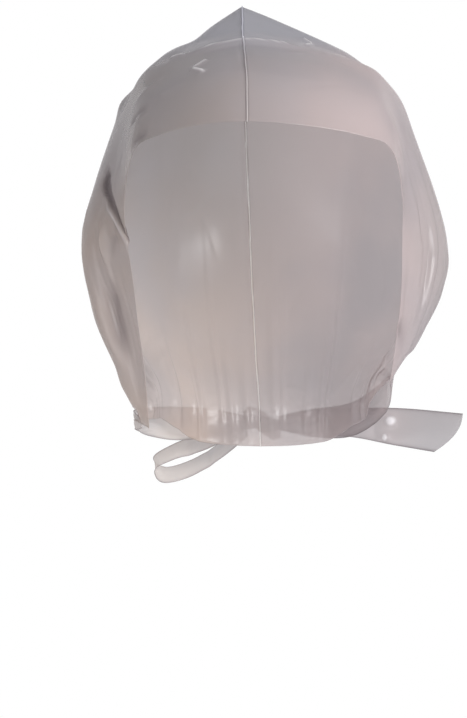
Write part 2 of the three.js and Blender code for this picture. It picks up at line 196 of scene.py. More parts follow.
# A fold follows a smooth line of points on the film. A ridge is rounded, a crease is sharp. width is how far a
# fold spreads to each side, height how far it stands out, or in if it is under 0, and fade the shares of the line
# over which the fold grows and dies. At a lip the film laps over itself: to the right of the way it is pushed by
# height along push and laps over by over, and to the left it slopes down by depth, from a break at reach. white is
# how strong a painted highlight the film gets along the line, and shade how much painted shade darkens it there.
LINE_FOLDS = [
    # the swell of the crown on each side, and the film drawn in above and below it on the right
    dict(kind="ridge", line=[(-50, 18, -3), (-51, 64, 0)], width=13, height=1.4, fade=(0.4, 0.4)),
    dict(kind="ridge", line=[(-35, 22, 7), (-36, 64, 10)], width=8, height=-1.7, fade=(0.4, 0.4)),
    dict(kind="ridge", line=[(-64, 12, -17), (-64, 66, -14)], width=11, height=-1.6, fade=(0.4, 0.4)),
    dict(kind="ridge", line=[(42, 18, -3), (42, 66, 1)], width=15, height=1.0, fade=(0.4, 0.4)),
    # where the crown of the head lifts the film, right and left of the seam, and the hollow behind it
    dict(kind="ridge", line=[(-47, 5, -7), (-32, 0, -2.5), (-20, -3, -0.5), (-10, -4, 0.8), (2, -2, 1), (14, 2, 0),
                             (26, 3, -3)], width=3.2, height=1.9, fade=(0.3, 0.25)),
    # the crease on the crown carries a painted highlight
    dict(kind="crease", line=[(-36, 1.5, -3.5), (-20, -3, -0.5), (-10, -4, 0.8), (2, -2, 1), (14, 2, 0)],
         width=1.3, height=0.7, fade=(0.15, 0.15), white=0.8),
    dict(kind="ridge", line=[(-44, 13, -4), (-28, 8, 1), (-10, 4, 4), (8, 7, 3.5), (22, 11, 0)],
         width=4.5, height=-1.3, fade=(0.3, 0.3)),
    # short dents beside the crown, each a sharp hook with a painted highlight along it
    dict(kind="crease", line=[(-27, -25, -10), (-34.5, -32, -15.3)], width=1.4, height=1.6, fade=(0.2, 0.1), white=1),
    dict(kind="crease", line=[(-34.5, -32, -15.3), (-28, -42, -18)], width=1.4, height=1.6, fade=(0.1, 0.3), white=1),
    dict(kind="crease", line=[(-47, 7, -7), (-38, 3, -4)], width=1.5, height=1.6, fade=(0.3, 0.3), white=1),
    dict(kind="crease", line=[(-50, 12, -9), (-42, 12, -4)], width=1.5, height=1.4, fade=(0.3, 0.3), white=0.8),
    dict(kind="crease", line=[(19.5, 33, 7), (24, 27, 3.3)], width=1.4, height=1.7, fade=(0.2, 0.1), white=0.9),
    dict(kind="crease", line=[(24, 27, 3.3), (20.5, 14, 0.8)], width=1.4, height=1.5, fade=(0.1, 0.3), white=0.9),
    # creases at the right side of the brow, darkened with painted shade
    dict(kind="crease", line=[(-66, -17, -41), (-61, -27, -37), (-54.8, -36.7, -34.2)], width=2.6, height=-1.0,
         fade=(0.3, 0.3), shade=0.55),
    dict(kind="crease", line=[(-64.5, -34, -53), (-60, -41, -49), (-55, -46.4, -47)], width=2.4, height=-0.9,
         fade=(0.3, 0.3), shade=0.5),
    # the pleat at the right temple, which laps over the strip beside the face, and the shallow folds round it;
    # painted shade on the strip below the lip and in the crease under it, and a painted highlight along the lip's
    # edge
    dict(kind="lip", line=[(-77, 12, -57), (-81, 15, -66), (-77, 5, -77), (-71.5, -7, -89), (-67, -11, -101)],
         width=9.0, height=2.6, push=(0.1, -1.0, 0.0), over=1.2, depth=4.0, reach=15.0, fade=(0.15, 0.05),
         shade=0.6),
    dict(kind="crease", line=[(-80, 13, -69), (-76.5, 4, -80), (-72, -6, -91), (-67.5, -10, -102)], width=1.2,
         height=0.9, fade=(0.2, 0.0), white=0.5),
    dict(kind="crease", line=[(-74, -2, -93), (-76, 0, -99), (-77, 2, -106)], width=2.2, height=-1.4,
         fade=(0.2, 0.4), shade=0.25),
    dict(kind="ridge", line=[(-84, 20, -78), (-80, 8, -92), (-76, 2, -112)], width=4.5, height=1.4, fade=(0.4, 0.4)),
    # the hollow down the right side behind the front edge, darkened with painted shade
    dict(kind="ridge", line=[(-76, 6, -112), (-73, 5.5, -128), (-70.5, 5, -142), (-66, 4, -157)], width=4.0,
         height=-2.4, fade=(0.3, 0.4), shade=0.45),
    # the fuller shoulders of the right and the left side
    dict(kind="ridge", line=[(-71, 25, -25), (-71, 58, -25)], width=7, height=2.0, fade=(0.4, 0.4)),
    dict(kind="ridge", line=[(69, 15, -24), (69, 65, -24)], width=14, height=1.8, fade=(0.4, 0.4)),
    # the film stands out a little above the two corners
    dict(kind="ridge", line=[(74, 18, -130), (71, 16.5, -144), (69, 15, -154)], width=7, height=1.5,
         fade=(0.4, 0.3)),
    dict(kind="ridge", line=[(-71, 17, -156), (-68, 15.5, -172), (-65.5, 14, -181)], width=8, height=2.2,
         fade=(0.4, 0.2)),
    # a crease at the left corner of the face opening, darkened with painted shade
    dict(kind="crease", line=[(66.5, -4, -132), (65, 4, -146), (63, 14, -160)], width=3.0, height=-2.4,
         fade=(0.3, 0.2), shade=0.8),
    # the soft rim of the left temple
    dict(kind="ridge", line=[(55, -33, -35), (64, -20, -50), (71, -12, -70)], width=5.0, height=0.9,
         fade=(0.4, 0.4)),
]

NAPE_PLEATS = dict(count=9, first=0.06, last=0.84, width=0.02, height=-2.6, end=1.05)


def nape_pleats(phase):
    """The pleats that the ties draw into the film at the nape, unevenly set and of uneven length."""
    pleats = []
    for k in range(NAPE_PLEATS["count"]):
        sway = math.sin(2.3 * k + phase)
        at = lerp(NAPE_PLEATS["first"], NAPE_PLEATS["last"], (k + 0.3 * sway) / (NAPE_PLEATS["count"] - 1))
        start = 0.66 + 0.1 * math.sin(1.7 * k + 2 * phase)
        pleats.append(dict(along="u", at=at, width=NAPE_PLEATS["width"] * (1 + 0.3 * sway),
                           height=NAPE_PLEATS["height"] * (1 - 0.35 * sway), ends=(start, NAPE_PLEATS["end"])))
    return pleats


GRID_GROW, GRID_DIE = 0.6, 0.4  # shares of a grid fold's length over which it grows and dies
STEEPEST = 1.6  # a grid fold is never higher than its width on the film divided by this

# Folds along the film's own grid. along="u" runs from the face to the neck at a fixed v, along="v" from the seam
# to the corner at a fixed u. ends are the two values between which the fold shows, and at, width are in grid units.
GRID_FOLDS = {
    "right_panel": [
        dict(along="v", at=0.04, width=0.012, height=-1.2, ends=(0.68, 0.94)),
        dict(along="v", at=0.09, width=0.016, height=1.0, ends=(0.42, 0.92)),
        dict(along="v", at=0.14, width=0.014, height=-0.9, ends=(0.5, 0.93)),
        dict(along="v", at=0.22, width=0.04, height=2.0, ends=(0.62, 0.93)),
        dict(along="v", at=0.34, width=0.02, height=-1.6, ends=(0.55, 0.94)),
        dict(along="v", at=0.46, width=0.03, height=1.4, ends=(0.6, 0.94)),
        dict(along="v", at=0.56, width=0.015, height=-1.6, ends=(0.45, 0.94)),
        dict(along="v", at=0.70, width=0.02, height=-1.4, ends=(0.5, 0.94)),
        *nape_pleats(0.5),
    ],
    "left_panel": [
        dict(along="v", at=0.03, width=0.015, height=-1.0, ends=(0.6, 0.94)),
        dict(along="v", at=0.07, width=0.014, height=0.8, ends=(0.4, 0.9)),
        dict(along="v", at=0.12, width=0.014, height=-0.8, ends=(0.45, 0.93)),
        dict(along="v", at=0.18, width=0.015, height=-1.2, ends=(0.45, 0.93)),
        dict(along="v", at=0.29, width=0.03, height=1.2, ends=(0.5, 0.93)),
        dict(along="v", at=0.40, width=0.015, height=-1.5, ends=(0.5, 0.94)),
        dict(along="v", at=0.52, width=0.03, height=1.3, ends=(0.6, 0.94)),
        dict(along="v", at=0.62, width=0.015, height=-1.4, ends=(0.55, 0.94)),
        dict(along="v", at=0.76, width=0.02, height=-1.2, ends=(0.5, 0.94)),
        *nape_pleats(2.1),
    ],
}


# The ties' stretches: at is the middle of the strap, and edge leads from there to its upper edge. A ruck is a
# bend across the strap, at a share of its length, or a dimple where across and spread place it, from -1 to 1,
# between the edges. pleats is how many lengthwise pleats lie across the tie, and bulge how far a free end stands
# out in its middle. cut is the length of the strip, in metres. A glint is a painted highlight on a dent: half gives
# half its length and half its breadth, as the same shares.
TIES = [
    dict(name="right_tie", cut=0.101, held="gathered", stations=[
        dict(at=(-60.9, 8, -185.2), edge=(-0.9, 1.6, 2.8)),
        dict(at=(-63.2, 14, -184.9), edge=(-0.7, 1.4, 4.2)),
        dict(at=(-64.4, 21, -184.2), edge=(-0.3, 1, 4.8)),
        dict(at=(-58.5, 38, -185.5), edge=(0, 0, 7)),
        dict(at=(-43.5, 59, -187), edge=(0, 0, 8.5)),
        dict(at=(-25, 72.5, -187), edge=(0, 0, 7)),
        dict(at=(-7.5, 78, -187), edge=(0, 0, 3.2)),
    ], rucks=[dict(at=0.4, width=0.02, height=0.7), dict(at=0.62, width=0.03, height=-0.8)], pleats=2.3, bulge=0),
    dict(name="left_tie", cut=0.104, held="gathered", stations=[
        dict(at=(63.2, 7.4, -164.2), edge=(0.7, 2.2, 2.4)),
        dict(at=(63.8, 12.8, -166.6), edge=(0.8, 2.4, 5.0)),
        dict(at=(62, 22, -170.6), edge=(0, 1.2, 8)),
        dict(at=(56, 39, -178.2), edge=(0, 1.5, 8.9)),
        dict(at=(43.5, 59, -185.5), edge=(0, 0, 8.5)),
        dict(at=(25, 72.5, -187), edge=(0, 0, 7)),
        dict(at=(7.5, 78, -187), edge=(0, 0, 3.2)),
    ], rucks=[dict(at=0.36, width=0.03, height=0.7), dict(at=0.7, width=0.02, height=-0.7)], pleats=2.6, bulge=0),
    dict(name="tie_tail", cut=0.095, held="hung", stations=[
        dict(at=(7.5, 81.2, -187.5), edge=(0, 0, 3.2)),
        dict(at=(24, 84, -187), edge=(0, 0.5, 6.5)),
        dict(at=(46, 82, -187), edge=(0, 0.8, 7.5)),
        dict(at=(70, 76, -189), edge=(2, 1, 9.5)),
        dict(at=(95.3, 65.5, -191.9), edge=(7.2, -2, 9.9)),
    ], rucks=[dict(at=0.62, width=0.03, height=-1.0),
              dict(at=0.708, width=0.03, height=1.7, across=0.25, spread=0.3),
              dict(at=0.69, width=0.02, height=1.2, across=-0.68, spread=0.15),
              dict(at=0.42, width=0.03, height=1.2),
              dict(at=0.82, width=0.1, height=0.8, across=-0.2, spread=0.7)], pleats=1.8, bulge=4,
         glints=[dict(at=0.71, across=0.27, half=(0.022, 0.2)), dict(at=0.69, across=-0.68, half=(0.012, 0.14))]),
    dict(name="tie_loop", cut=0.117, held="folded", stations=[
        dict(at=(-7.5, 80.8, -187), edge=(0.5, 0.5, 3)),
        dict(at=(-28, 80, -196), edge=(1, 6.4, 4.6)),
        dict(at=(-46, 74, -202), edge=(0.4, 7.7, 4)),
        dict(at=(-55.5, 70.5, -208), edge=(-0.6, 8.3, 3)),
        dict(at=(-51.5, 75.5, -213.2), edge=(0.6, 8, 3.6)),
        dict(at=(-38, 81, -210.5), edge=(1, 7.4, 4.4)),
        dict(at=(-22, 84, -201), edge=(1, 6.2, 4.6)),
        dict(at=(-7.5, 83.4, -190.5), edge=(0.5, 1, 2.6)),
    ], rucks=[dict(at=0.2, width=0.02, height=0.8), dict(at=0.8, width=0.02, height=-0.7)], pleats=1.1, bulge=0),
]
TIE_CELLS, TIE_ACROSS = 220, 28
STRAP_HALF = 9.5  # half the width of a tie that lies flat
PLEAT = 0.2  # height of a tie's lengthwise pleats for each millimetre that it is drawn in
PLEATS_FROM, PLEATS_RISE = 0.24, 0.3  # share of its length where the pleats start, and over which they rise
PLEAT_SWING = (0.6, 6, 2)  # how far the pleats wander across the tie, how often along it, and from tie to tie
RUCK_SLANT = 0.012  # how far a ruck leans from edge to edge, as a share of the tie's length
RUCK_SPREAD = 1.2  # breadth of a ruck that goes right across
END_ROUND = 0.15  # share of its length over which a free end bulges
EDGE_CURL = 0.5  # how far its edges curl inwards
CURL_POWER, SHADE_POWER = 10, 12  # how close to the edges the curl and the shade keep
EDGE_SHADE = 0.7  # how much darker its edges are painted: partly for their fold, partly as painted shade where they curl away
GLINT_SOFT = 1.6  # where a glint has died out, in times its half size

# The weld stands up as a thin fin, from under the film to above it, and wavers a little. waves are the
# lengths of its two wavers, over 2 pi.
WELD = dict(below=0.5, above=0.8, half=0.2, waver=0.2, waves=(9, 3.7), levels=6)

# The knot is two gathered strands, each bent round the other in a narrow loop.
KNOT_STRANDS = [
    [(-9, 79.5, -187), (-4, 84, -186), (3.5, 86, -189.5), (6.5, 81, -192.5), (2, 76.5, -190), (-4, 77, -186),
     (-9, 80, -190)],
    [(9, 79.5, -187), (4, 77, -189), (-3.5, 75.5, -186), (-6.5, 80, -182.5), (-2, 85, -184), (4, 84.5, -188.5),
     (9, 81, -188)],
]
KNOT_RADIUS, KNOT_CELLS = 3.3, (90, 56)  # the cells lie along a strand and round it
KNOT_LOBES, KNOT_LOBE, KNOT_SWELL = 7, 0.13, 0.05  # folds round a strand, their height, and that of its swells
KNOT_END, KNOT_TAPER = 0.35, 0.1  # how thin its ends are, and the share of its length over which they taper

# The unrest of the film away from its folds.
WAVES = dict(height=1.3, scale=(38, 38, 52), seed=3.0)
WAVES_GROW, WAVES_DIE = 0.03, 0.1  # shares of the arch over which waves and grid folds grow and die
# Creases strewn over a panel, as straight film creases are: how many, where on the grid they start, which way
# they run there, how long and wide they are in millimetres, and how high.
STREWN = [
    dict(count=26, u=(0.02, 0.3), v=(0.5, 0.9), turn=(-0.35, 0.35),
         length=(25, 60), width=(1.6, 3.2), height=(0.3, 0.9)),
    dict(count=14, u=(0.03, 0.3), v=(0.05, 0.45), turn=(-0.9, 0.9),
         length=(12, 34), width=(1.4, 2.6), height=(0.2, 0.5)),
    dict(count=46, u=(0.34, 0.95), v=(0.03, 0.9), turn=(-0.8, 0.8),
         length=(18, 60), width=(1.6, 3.5), height=(0.3, 0.9)),
]
STREWN_SEED = {"right_panel": 5, "left_panel": 17}
STREWN_STEP, STREWN_BEND = 7, 0.25  # cells from one point of a strewn crease to the next, and its turn there
STREWN_DIE = 0.14  # share of the arch over which the strewn creases die out towards the corner

LINE_STEPS = 28  # points that a fold's line is drawn with
FOLD_REACH = 4  # in times its width, how far from its line a fold is worked out
CREASE_BLUNT = 0.04  # rounds a crease's edge a little
LIP_TURN = 2.0  # width of the turn at a lip's edge
LIP_LEAST = 0.15  # least share of its reach that the slope below a lip keeps
LIP_PASSES = 2  # times that a lip's edge is smoothed
PAINTED_HIGHLIGHT_WIDTH = 0.75  # how far a painted highlight spreads to each side of a sharp crease


def line_points(line, count=LINE_STEPS):
    controls = np.broadcast_to(np.array(line, float), (count, len(line), 3))
    return catmull(controls, np.linspace(0, 1, count))


def beside(points, normals, line):
    """Each point's signed distance from a line, positive to the left of its way as seen from outside, the share
    of the line at the nearest place, and the unit direction to the left."""
    best = np.full(points.shape[:-1], np.inf)
    share = np.zeros_like(best)
    left = np.zeros_like(points)
    offset = np.zeros_like(points)
    steps = len(line) - 1
    for k in range(steps):
        way = line[k + 1] - line[k]
        rel = points - line[k]
        t = np.clip(rel @ way / (way @ way), 0, 1)
        off = rel - t[..., None] * way
        far = np.linalg.norm(off, axis=-1)
        closer = far < best
        best = np.where(closer, far, best)
        share = np.where(closer, (k + t) / steps, share)
        offset = np.where(closer[..., None], off, offset)
        left = np.where(closer[..., None], np.cross(normals, way), left)
    left /= np.maximum(np.linalg.norm(left, axis=-1, keepdims=True), TINY)
    return best * np.where((offset * left).sum(axis=-1) < 0, -1, 1), share, left


def fading(share, fade):
    grow, die = fade
    value = np.ones_like(share)
    if grow > 0:
        value = value * smooth(share / grow)
    if die > 0:
        value = value * smooth((1 - share) / die)
    return value


def line_fold(fold, points, normals):
    """How a fold moves the points, as vectors, and how much painted highlight and painted shade it puts on the film
    there.
    """
    reach = FOLD_REACH * fold["width"]
    line = line_points(fold["line"])
    low, high = line.min(axis=0) - reach, line.max(axis=0) + reach
    near = ((points > low) & (points < high)).all(axis=-1)
    move, marks = np.zeros_like(points), np.zeros((2, *near.shape))
    if not near.any():
        return move, marks
    far, share, left = beside(points[near], normals[near], line)
    width, height = fold["width"], fold["height"]
    strength = fading(share, fold["fade"])
    # a painted highlight along the line
    marks[0][near] = strength * fold.get("white", 0) * np.exp(-((far / PAINTED_HIGHLIGHT_WIDTH) ** 2))
    if fold["kind"] == "lip":
        return lip_fold(fold, near, normals[near], far, share, left, strength, marks)
    # painted shade along the line
    marks[1][near] = strength * fold.get("shade", 0) * np.exp(-((far / width) ** 2))
    if fold["kind"] == "ridge":
        out = height * np.exp(-((far / width) ** 2))
    else:
        out = height * np.exp(-np.sqrt((far / width) ** 2 + CREASE_BLUNT))
    move[near] = (strength * out)[:, None] * normals[near]
    return move, marks


def lip_fold(fold, near, normals, far, share, left, strength, marks):
    """The move and the marks of a lip. near marks the points of the grid that the other values are of."""
    on_top = smooth(0.5 - far / LIP_TURN)
    lapped = np.exp(np.minimum(far, 0) / fold["width"])
    reach = fold["reach"] * np.maximum(1 - share, LIP_LEAST)
    slope = np.clip(1 - far / reach, 0, 1)
    pushed = (on_top * lapped * fold["height"])[:, None] * np.array(fold["push"])
    laid = (on_top * lapped * fold["over"])[:, None] * left
    sunk = (-(1 - on_top) * slope * fold["depth"])[:, None] * normals
    # painted shade on the slope below the lip
    marks[1][near] = strength * fold["shade"] * (1 - on_top) * np.clip(reach - far, 0, 1)
    move = np.zeros((*near.shape, 3))
    move[near] = strength[:, None] * (pushed + laid + sunk)
    for _ in range(LIP_PASSES):
        for axis in (0, 1):
            before, after = np.roll(move, 1, axis=axis), np.roll(move, -1, axis=axis)
            side = (slice(None),) * axis
            before[side + (0,)], after[side + (-1,)] = move[side + (0,)], move[side + (-1,)]
            move = (before + 2 * move + after) / 4
    return move, marks


def grid_fold(fold, u, v):
    """The height of a fold along the grid."""
    across, run = (v, u) if fold["along"] == "u" else (u, v)
    start, end = fold["ends"]
    share = (run - start) / (end - start)
    ramps = smooth(share / GRID_GROW) * smooth((1 - share) / GRID_DIE)
    window = np.where((share > 0) & (share < 1), ramps, 0.0)
    return fold["height"] * window * np.exp(-(((across - fold["at"]) / fold["width"]) ** 2))


def noise_field(points, scale, seed):
    """Smooth noise, from about -1 to 1, at points in millimetres. scale is the size of its features along x, y, z."""
    places = points.reshape(-1, 3) / np.asarray(scale, float) + seed
    return np.array([noise.noise(Vector(place)) for place in places]).reshape(points.shape[:-1])


def strewn_folds(panel_name, points):
    """The strewn creases of a panel, each as a line fold that starts somewhere on its grid of points."""
    draw = np.random.RandomState(STREWN_SEED[panel_name])
    rows, columns = points.shape[:2]
    folds = []
    for group in STREWN:
        for _ in range(group["count"]):
            i = int(np.searchsorted(steps_u, draw.uniform(*group["u"])))
            j = int(draw.uniform(*group["v"]) * (columns - 1))
            turn = draw.uniform(*group["turn"])
            length, width = draw.uniform(*group["length"]), draw.uniform(*group["width"])
            height = draw.uniform(*group["height"]) * draw.choice([-1, 1])
            line = [points[i, j]]
            while length > 0 and 1 < i < rows - 2 and 1 < j < columns - 2:
                step = math.cos(turn), math.sin(turn)
                i_next = int(np.clip(i + round(STREWN_STEP * step[1]), 1, rows - 2))
                j_next = int(np.clip(j + round(STREWN_STEP * step[0]), 1, columns - 2))
                turn += draw.uniform(-STREWN_BEND, STREWN_BEND)
                length -= np.linalg.norm(points[i_next, j_next] - points[i, j])
                i, j = i_next, j_next
                line.append(points[i, j])
            if len(line) > 2:
                folds.append(dict(kind="crease", line=line, width=width, height=height, fade=(0.4, 0.4)))
    return folds


def folded(panel, u, v):
    """A panel's film with its folds, and the marks on it."""
    points = film_grid(panel, u, v)
    normals = grid_normals(points)
    normals[:, 0, 0] = 0.0
    moves, marks = zip(*(line_fold(fold, points, normals) for fold in LINE_FOLDS))
    strewn = sum(line_fold(fold, points, normals)[0] for fold in strewn_folds(panel["name"], points))
    strewn = strewn * smooth((1 - v) / STREWN_DIE)[..., None]
    pace = {"v": np.linalg.norm(np.gradient(points, steps_u, axis=0), axis=-1),
            "u": np.linalg.norm(np.gradient(points, steps_v, axis=1), axis=-1)}
    height = WAVES["height"] * noise_field(points, WAVES["scale"], WAVES["seed"])
    for fold in GRID_FOLDS[panel["name"]]:
        room = fold["width"] * pace[fold["along"]] / (STEEPEST * abs(fold["height"]))
        height = height + grid_fold(fold, u, v) * np.minimum(room, 1)
    height = height * smooth(v / WAVES_GROW) * smooth((1 - v) / WAVES_DIE)
    return points + sum(moves) + strewn + height[..., None] * normals, np.clip(sum(marks), 0, 1)


# ---- meshes -----------------------------------------------------------------------------------------------


def solid(name, points, faces, material):
    """An object in the scene, made of points in metres and faces."""
    mesh = bpy.data.meshes.new(name)
    mesh.from_pydata(points, [], faces)
    mesh.materials.append(material)
    piece = bpy.data.objects.new(name, mesh)
    bpy.context.scene.collection.objects.link(piece)
    return piece


def shell(name, outer, inner, material, marks=None):
    """A closed thin solid between two grids of points in millimetres. marks are two grids: painted highlight and
    painted shade.
    """
    rows, columns = outer.shape[:2]
    points = np.concatenate([outer.reshape(-1, 3), inner.reshape(-1, 3)]) * MM
    index = np.arange(2 * rows * columns).reshape(2, rows, columns)
    o, i = index
    quads = [
        np.stack([o[:-1, :-1], o[1:, :-1], o[1:, 1:], o[:-1, 1:]], -1),
        np.stack([i[:-1, :-1], i[:-1, 1:], i[1:, 1:], i[1:, :-1]], -1),
        np.stack([o[:-1, 0], i[:-1, 0], i[1:, 0], o[1:, 0]], -1),
        np.stack([o[1:, -1], i[1:, -1], i[:-1, -1], o[:-1, -1]], -1),
        np.stack([o[0, 1:], i[0, 1:], i[0, :-1], o[0, :-1]], -1),
        np.stack([o[-1, :-1], i[-1, :-1], i[-1, 1:], o[-1, 1:]], -1),
    ]
    faces = np.concatenate([q.reshape(-1, 4) for q in quads])
    a, b, c = (points[faces[:, k]] for k in (0, 1, 2))
    if (a * np.cross(b, c)).sum() < 0:
        faces = faces[:, ::-1]
    piece = solid(name, points.tolist(), faces.tolist(), material)
    if marks is not None:
        for key, mark in zip(("white", "painted_shade"), marks):
            layer = piece.data.attributes.new(key, "FLOAT", "POINT")
            layer.data.foreach_set("value", np.tile(mark.reshape(-1), 2))
    piece.data.shade_smooth()
    return piece


def tie_grid(tie):
    """The middle surface of a tie, from its stations: along it, and across from edge to edge."""
    stations = tie["stations"]
    t = np.linspace(0, 1, TIE_CELLS + 1)
    middle = line_points([s["at"] for s in stations], TIE_CELLS + 1)
    places = np.arange(len(stations)) / (len(stations) - 1)
    edge = np.stack([along([s["edge"][k] for s in stations], places, t) for k in range(3)], axis=-1)
    tangent = np.gradient(middle, axis=0)
    normal = np.cross(tangent, edge)
    normal /= np.linalg.norm(normal, axis=-1, keepdims=True)
    half = np.linalg.norm(edge, axis=-1)
    drawn_in = np.maximum(STRAP_HALF - half, 0)

    a = np.linspace(1, -1, TIE_ACROSS + 1)
    swing = PLEAT_SWING[0] * np.sin(PLEAT_SWING[1] * t + PLEAT_SWING[2] * middle[0, 0])
    wave = np.cos(math.pi * tie["pleats"] * a[None, :] + swing[:, None])
    settled = smooth((t - PLEATS_FROM) / PLEATS_RISE)[:, None]
    height = PLEAT * drawn_in[:, None] * wave * settled
    for ruck in tie["rucks"]:
        slant = t[:, None] - ruck["at"] + RUCK_SLANT * a[None, :]
        across = np.exp(-(((a - ruck.get("across", 0.0)) / ruck.get("spread", RUCK_SPREAD)) ** 2))
        height = height + ruck["height"] * np.exp(-((slant / ruck["width"]) ** 2)) * across[None, :]
    height = height - EDGE_CURL * np.abs(a[None, :]) ** CURL_POWER * settled
    points = middle[:, None, :] + a[None, :, None] * edge[:, None, :]
    free_end = tie["bulge"] * smooth((t - (1 - END_ROUND)) / END_ROUND)
    ahead = tangent / np.linalg.norm(tangent, axis=-1, keepdims=True)
    points = points + (free_end[:, None] * (1 - a[None, :] ** 2))[..., None] * ahead[:, None, :]
    return points + height[..., None] * normal[:, None, :]


def tie_film(tie, points, material):
    """A tie's closed strip about a grid of points, with edges painted darker, partly for their fold and partly as
    painted shade, and painted highlights on its dents.
    """
    normal = np.cross(np.gradient(points, axis=0), np.gradient(points, axis=1))
    normal /= np.maximum(np.linalg.norm(normal, axis=-1, keepdims=True), TINY)
    t, a = np.meshgrid(np.linspace(0, 1, points.shape[0]), np.linspace(1, -1, points.shape[1]), indexing="ij")
    white = np.zeros_like(t)
    for glint in tie.get("glints", ()):
        far = np.hypot((t - glint["at"]) / glint["half"][0], (a - glint["across"]) / glint["half"][1])
        white = np.maximum(white, smooth(GLINT_SOFT - far))
    return shell(tie["name"] + "_film", points + FILM / 2 * normal, points - FILM / 2 * normal, material,
                 (white, EDGE_SHADE * np.abs(a) ** SHADE_POWER))


def weld_piece(left_edge, right_edge, material):
    """The weld between the panels' edges, given as two rows of points."""
    middle = (left_edge + right_edge) / 2
    ahead = np.gradient(middle, axis=0)
    up = np.stack([0 * ahead[:, 0], -ahead[:, 2], ahead[:, 1]], axis=-1)
    up /= np.linalg.norm(up, axis=-1, keepdims=True)
    level = np.linspace(-WELD["below"], WELD["above"], WELD["levels"] + 1)
    run = np.cumsum(np.linalg.norm(ahead, axis=-1))
    long_wave, short_wave = WELD["waves"]
    lean = WELD["waver"] * (np.sin(run / long_wave) + 0.5 * np.sin(run / short_wave + 1))
    points = middle[:, None, :] + level[None, :, None] * up[:, None, :]
    points[..., 0] += lean[:, None] * np.maximum(level, 0)[None, :] / WELD["above"]
    side = np.array((WELD["half"], 0, 0))
    return shell("weld", points + side, points - side, material)


def strand(name, path, material):
    """A gathered strand of film: a closed tube with lengthwise lobes along a path."""
    steps, sides = KNOT_CELLS
    middle = line_points(path, steps + 1)
    ahead = np.gradient(middle, axis=0)
    ahead /= np.linalg.norm(ahead, axis=-1, keepdims=True)
    across = np.zeros_like(middle)
    across[0] = np.cross(ahead[0], (0.0, 0.0, 1.0))
    for k in range(1, steps + 1):
        across[k] = across[k - 1] - (across[k - 1] @ ahead[k]) * ahead[k]
    across /= np.linalg.norm(across, axis=-1, keepdims=True)
    up = np.cross(ahead, across)
    t = np.linspace(0, 1, steps + 1)[:, None]
    turn = np.linspace(0, 2 * math.pi, sides, endpoint=False)[None, :]
    lobes = KNOT_LOBE * np.cos(KNOT_LOBES * turn + 2.2 * t) + KNOT_SWELL * np.cos(3 * turn - 7 * t)
    taper = smooth(t / KNOT_TAPER) * smooth((1 - t) / KNOT_TAPER)
    radius = KNOT_RADIUS * (1 + lobes) * (KNOT_END + (1 - KNOT_END) * taper)
    sideways = (np.cos(turn) * radius)[..., None] * across[:, None, :]
    upwards = (np.sin(turn) * radius)[..., None] * up[:, None, :]
    points = (middle[:, None, :] + (sideways + upwards)).reshape(-1, 3) * MM
    index = np.arange((steps + 1) * sides).reshape(steps + 1, sides)
    after = np.roll(index, -1, axis=1)
    quads = np.stack([index[:-1], after[:-1], after[1:], index[1:]], -1).reshape(-1, 4).tolist()
    ends = [index[0][::-1].tolist(), index[-1].tolist()]
    piece = solid(name, points.tolist(), quads + ends, material)
    piece.data.shade_smooth()
    return piece


# ---- materials --------------------------------------------------------------------------------------------


COLOUR_A, COLOUR_B, COLOUR_OUT = 6, 7, 2  # the colour sockets of a mix node


class Nodes:
    """A material's node tree, with short ways to add and join nodes."""

    def __init__(self, name):
        self.material = bpy.data.materials.new(name)
        self.material.use_nodes = True
        self.tree = self.material.node_tree
        self.bsdf = self.tree.nodes["Principled BSDF"]
        self.place = self.tree.nodes.new("ShaderNodeTexCoord").outputs["Object"]

    def put(self, socket, value):
        if isinstance(value, bpy.types.NodeSocket):
            self.tree.links.new(value, socket)
        else:
            socket.default_value = (*value, 1) if isinstance(value, tuple) and len(value) == 3 else value

    def noise(self, scale, detail):
        node = self.tree.nodes.new("ShaderNodeTexNoise")
        node.inputs["Scale"].default_value = scale
        node.inputs["Detail"].default_value = detail
        node.inputs["Roughness"].default_value = 0.5
        self.tree.links.new(self.place, node.inputs["Vector"])
        return node.outputs["Fac"]

    def mark(self, name):
        node = self.tree.nodes.new("ShaderNodeAttribute")
        node.attribute_name = name
        return node.outputs["Fac"]

    def most(self, a, b):
        node = self.tree.nodes.new("ShaderNodeMath")
        node.operation = "MAXIMUM"
        self.put(node.inputs[0], a)
        self.put(node.inputs[1], b)
        return node.outputs[0]

    def axis(self, name):
        node = self.tree.nodes.new("ShaderNodeSeparateXYZ")
        self.tree.links.new(self.place, node.inputs[0])
        return node.outputs[name]

    def ramp(self, value, from_min, from_max, to_min=0.0, to_max=1.0):
        node = self.tree.nodes.new("ShaderNodeMapRange")
        node.interpolation_type = "SMOOTHSTEP"
        for key, number in (("From Min", from_min), ("From Max", from_max), ("To Min", to_min), ("To Max", to_max)):
            node.inputs[key].default_value = number
        self.put(node.inputs["Value"], value)
        return node.outputs["Result"]

    def mix(self, share, a, b):
        node = self.tree.nodes.new("ShaderNodeMix")
        node.data_type = "RGBA"
        self.put(node.inputs["Factor"], share)
        self.put(node.inputs[COLOUR_A], a)
        self.put(node.inputs[COLOUR_B], b)
        return node.outputs[COLOUR_OUT]

    def bump(self, height, distance, strength):
        node = self.tree.nodes.new("ShaderNodeBump")
        node.inputs["Strength"].default_value = strength
        node.inputs["Distance"].default_value = distance
        self.tree.links.new(height, node.inputs["Height"])
        return node.outputs["Normal"]

    def mix_shader(self, share, a, b):
        node = self.tree.nodes.new("ShaderNodeMixShader")
        self.put(node.inputs[0], share)
        self.tree.links.new(a, node.inputs[1])
        self.tree.links.new(b, node.inputs[2])
        return node.outputs[0]

    def finish(self, shader):
        self.tree.links.new(shader, self.tree.nodes["Material Output"].inputs["Surface"])
        return self.material
